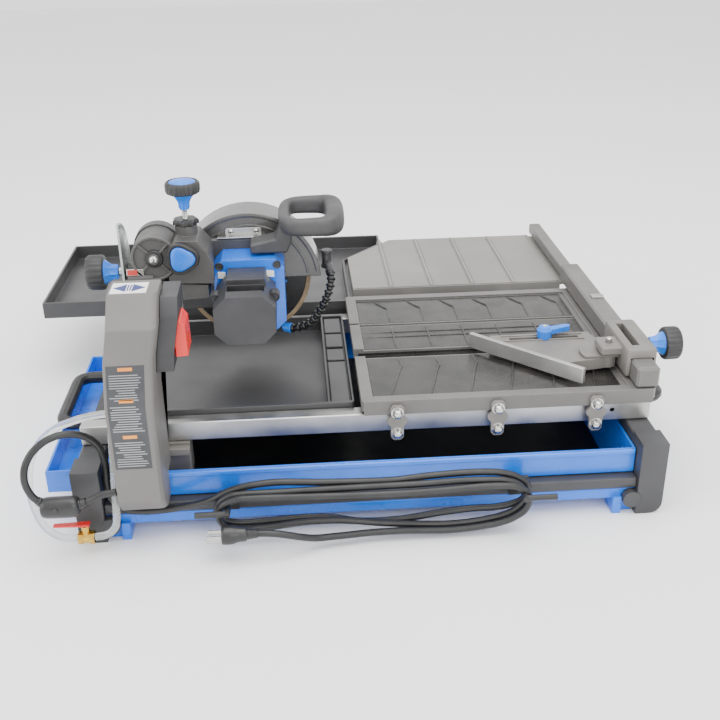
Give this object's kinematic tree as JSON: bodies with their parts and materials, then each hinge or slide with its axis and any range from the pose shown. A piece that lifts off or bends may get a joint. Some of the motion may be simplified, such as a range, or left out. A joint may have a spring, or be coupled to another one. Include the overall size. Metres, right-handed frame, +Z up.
{
  "type": "wet tile saw",
  "caption": "Bridge-style wet tile cutter: water tub in a cradle frame, table that rolls on rails, tilting and plunging motor head, angle guide, extension table, cord and hose.",
  "frame": {"origin": "middle of the base: centre of the footprint box, on the floor", "axes": "+X to the right along the rails, +Y away from the operator, +Z up"},
  "size_m": [0.9012, 0.7895, 0.388],
  "materials": {
    "water_tub": "satin blue moulding",
    "left_side_frame": "dark moulding",
    "right_side_frame": "dark moulding",
    "front_lower_bar": "dark paint",
    "front_foot_rail": "blue moulding",
    "rear_foot_rail": "blue moulding",
    "left_carry_handle": "black gloss paint",
    "right_carry_handle": "black gloss paint",
    "left_cord_hook": "black paint",
    "right_cord_hook": "black paint",
    "front_rail": "satin extrusion",
    "rear_rail": "satin extrusion",
    "column_cover": "fine-grained taupe moulding",
    "column_post": "grey casting",
    "switch_box": "dark moulding",
    "switch_paddle": "red moulding",
    "centre_tray": "dark satin moulding",
    "rear_tray": "dark satin moulding",
    "extension_table": "light taupe satin paint",
    "extension_support": "mill finish",
    "table_casting": "satin grey painted casting",
    "front_bracket_1": "grey casting",
    "front_bracket_2": "grey casting",
    "front_bracket_3": "grey casting",
    "front_roller_1": "light moulding",
    "front_roller_2": "light moulding",
    "rear_roller_1": "light moulding",
    "rear_roller_2": "light moulding",
    "fence_bar": "grey satin paint",
    "guide_carriage": "grey satin paint",
    "guide_arm": "dark moulding",
    "guide_face": "bright extrusion",
    "guide_lever": "blue moulding",
    "fence_knob": "black fluted grip on a blue hub",
    "bevel_plate": "scale plate",
    "tilt_bracket": "dark textured casting",
    "bevel_knob": "black fluted grip on a blue hub",
    "head_arm": "dark textured casting",
    "lock_knob": "blue moulding",
    "jam_knob": "black moulding",
    "depth_knob": "black fluted grip on a blue stem",
    "blade_guard": "dark grey gloss moulding",
    "motor_housing": "blue gloss moulding",
    "motor_cap": "black moulding",
    "spindle": "ground steel",
    "cutting_blade": "dark steel core with a tan rim",
    "flange_nut": "zinc plated",
    "handle_grip": "dark soft grip",
    "nozzle_hose": "black ball segments",
    "water_pump": "dark moulding",
    "valve_body": "turned brass",
    "valve_lever": "red dipped steel",
    "gfci_box": "black moulding",
    "cord_hank": "black cord",
    "power_plug": "black moulding with bright blades",
    "gfci_lead": "black cord",
    "supply_cord": "black cord",
    "plug_lead": "black cord",
    "water_hose": "clear flexible tube",
    "return_hose": "clear flexible tube"
  },
  "bodies": {
    "frame": {"water_tub": "water_tub", "left_side_frame": "left_side_frame", "right_side_frame": "right_side_frame", "front_lower_bar": "front_lower_bar", "front_foot_rail": "front_foot_rail", "rear_foot_rail": "rear_foot_rail", "left_carry_handle": "left_carry_handle", "right_carry_handle": "right_carry_handle", "left_cord_hook": "left_cord_hook", "right_cord_hook": "right_cord_hook", "front_rail": "front_rail", "rear_rail": "rear_rail", "column_cover": "column_cover", "column_post": "column_post", "switch_box": "switch_box", "centre_tray": "centre_tray", "rear_tray": "rear_tray", "extension_table": "extension_table", "extension_support": "extension_support", "bevel_plate": "bevel_plate", "water_pump": "water_pump", "valve_body": "valve_body", "gfci_box": "gfci_box", "cord_hank": "cord_hank", "power_plug": "power_plug", "gfci_lead": "gfci_lead", "supply_cord": "supply_cord", "plug_lead": "plug_lead", "water_hose": "water_hose", "return_hose": "return_hose"},
    "table": {"table_casting": "table_casting", "front_bracket_1": "front_bracket_1", "front_bracket_2": "front_bracket_2", "front_bracket_3": "front_bracket_3", "fence_bar": "fence_bar"},
    "roller_front_left": {"front_roller_1": "front_roller_1"},
    "roller_front_right": {"front_roller_2": "front_roller_2"},
    "roller_rear_left": {"rear_roller_1": "rear_roller_1"},
    "roller_rear_right": {"rear_roller_2": "rear_roller_2"},
    "guide_base": {"guide_carriage": "guide_carriage"},
    "guide_clamp_knob": {"fence_knob": "fence_knob"},
    "guide": {"guide_arm": "guide_arm", "guide_face": "guide_face"},
    "guide_clamp_lever": {"guide_lever": "guide_lever"},
    "tilt": {"tilt_bracket": "tilt_bracket"},
    "bevel_clamp_knob": {"bevel_knob": "bevel_knob"},
    "head": {"head_arm": "head_arm", "blade_guard": "blade_guard", "motor_housing": "motor_housing", "motor_cap": "motor_cap", "handle_grip": "handle_grip", "nozzle_hose": "nozzle_hose"},
    "head_lock": {"lock_knob": "lock_knob"},
    "depth_jam_nut": {"jam_knob": "jam_knob"},
    "depth_screw": {"depth_knob": "depth_knob"},
    "blade": {"spindle": "spindle", "cutting_blade": "cutting_blade", "flange_nut": "flange_nut"},
    "switch": {"switch_paddle": "switch_paddle"},
    "valve": {"valve_lever": "valve_lever"}
  },
  "joints": [
    {"name": "table_slide", "type": "slide", "parent": "frame", "child": "table", "axis": [-1, 0, 0], "range_m": [0, 0.3]},
    {"name": "front_left_roller_turn", "type": "hinge", "parent": "table", "child": "roller_front_left", "pos_m": [0.0704, -0.2624, 0.132], "axis": [0, 1, 0], "range_deg": [-2201, 60]},
    {"name": "front_right_roller_turn", "type": "hinge", "parent": "table", "child": "roller_front_right", "pos_m": [0.3234, -0.2624, 0.132], "axis": [0, 1, 0], "range_deg": [-2201, 60]},
    {"name": "rear_left_roller_turn", "type": "hinge", "parent": "table", "child": "roller_rear_left", "pos_m": [0.0704, 0.0457, 0.132], "axis": [0, 1, 0], "range_deg": [-2201, 60]},
    {"name": "rear_right_roller_turn", "type": "hinge", "parent": "table", "child": "roller_rear_right", "pos_m": [0.3234, 0.0457, 0.132], "axis": [0, 1, 0], "range_deg": [-2201, 60]},
    {"name": "guide_slide", "type": "slide", "parent": "table", "child": "guide_base", "axis": [0, 1, 0], "range_m": [-0.02, 0.05]},
    {"name": "guide_swing", "type": "hinge", "parent": "guide_base", "child": "guide", "pos_m": [0.3554, -0.2173, 0.158], "axis": [0, 0, 1], "range_deg": [-5, 30]},
    {"name": "guide_lever_turn", "type": "hinge", "parent": "guide", "child": "guide_clamp_lever", "pos_m": [0.2854, -0.1573, 0.175], "axis": [0, 0, 1], "range_deg": [0, 60]},
    {"name": "fence_knob_turn", "type": "hinge", "parent": "guide_base", "child": "guide_clamp_knob", "pos_m": [0.4077, -0.2203, 0.18], "axis": [1, 0, 0], "range_deg": [-180, 0]},
    {"name": "bevel_tilt", "type": "hinge", "parent": "frame", "child": "tilt", "pos_m": [-0.2706, -0.1083, 0.267], "axis": [-1, 0, 0], "range_deg": [0, 45]},
    {"name": "bevel_knob_turn", "type": "hinge", "parent": "frame", "child": "bevel_clamp_knob", "pos_m": [-0.2831, -0.1083, 0.267], "axis": [-1, 0, 0], "range_deg": [-180, 0]},
    {"name": "head_plunge", "type": "hinge", "parent": "tilt", "child": "head", "pos_m": [-0.2296, -0.1213, 0.296], "axis": [0, -1, 0], "range_deg": [0, 20]},
    {"name": "lock_knob_turn", "type": "hinge", "parent": "head", "child": "head_lock", "pos_m": [-0.1926, -0.1476, 0.2985], "axis": [0, 1, 0], "range_deg": [-90, 0]},
    {"name": "jam_knob_turn", "type": "hinge", "parent": "head", "child": "depth_jam_nut", "pos_m": [-0.1886, -0.1133, 0.331], "axis": [0, 0, 1], "range_deg": [-90, 90]},
    {"name": "depth_knob_turn", "type": "hinge", "parent": "head", "child": "depth_screw", "pos_m": [-0.1886, -0.1133, 0.351], "axis": [0, 0, 1], "range_deg": [-90, 90]},
    {"name": "blade_spin", "type": "hinge", "parent": "head", "child": "blade", "pos_m": [-0.1166, -0.0433, 0.231], "axis": [0, 1, 0], "continuous": true},
    {"name": "switch_turn", "type": "hinge", "parent": "frame", "child": "switch", "pos_m": [-0.1831, -0.3153, 0.286], "axis": [0, -1, 0], "range_deg": [0, 15]},
    {"name": "valve_turn", "type": "hinge", "parent": "frame", "child": "valve", "pos_m": [-0.3126, -0.3633, 0.0408], "axis": [0, 0, 1], "range_deg": [0, 90]}
  ],
  "couplings": [
    {"joint": "front_left_roller_turn", "follows": "table_slide", "rad_per_m": -126.58},
    {"joint": "front_right_roller_turn", "follows": "table_slide", "rad_per_m": -126.58},
    {"joint": "rear_left_roller_turn", "follows": "table_slide", "rad_per_m": -126.58},
    {"joint": "rear_right_roller_turn", "follows": "table_slide", "rad_per_m": -126.58}
  ]
}
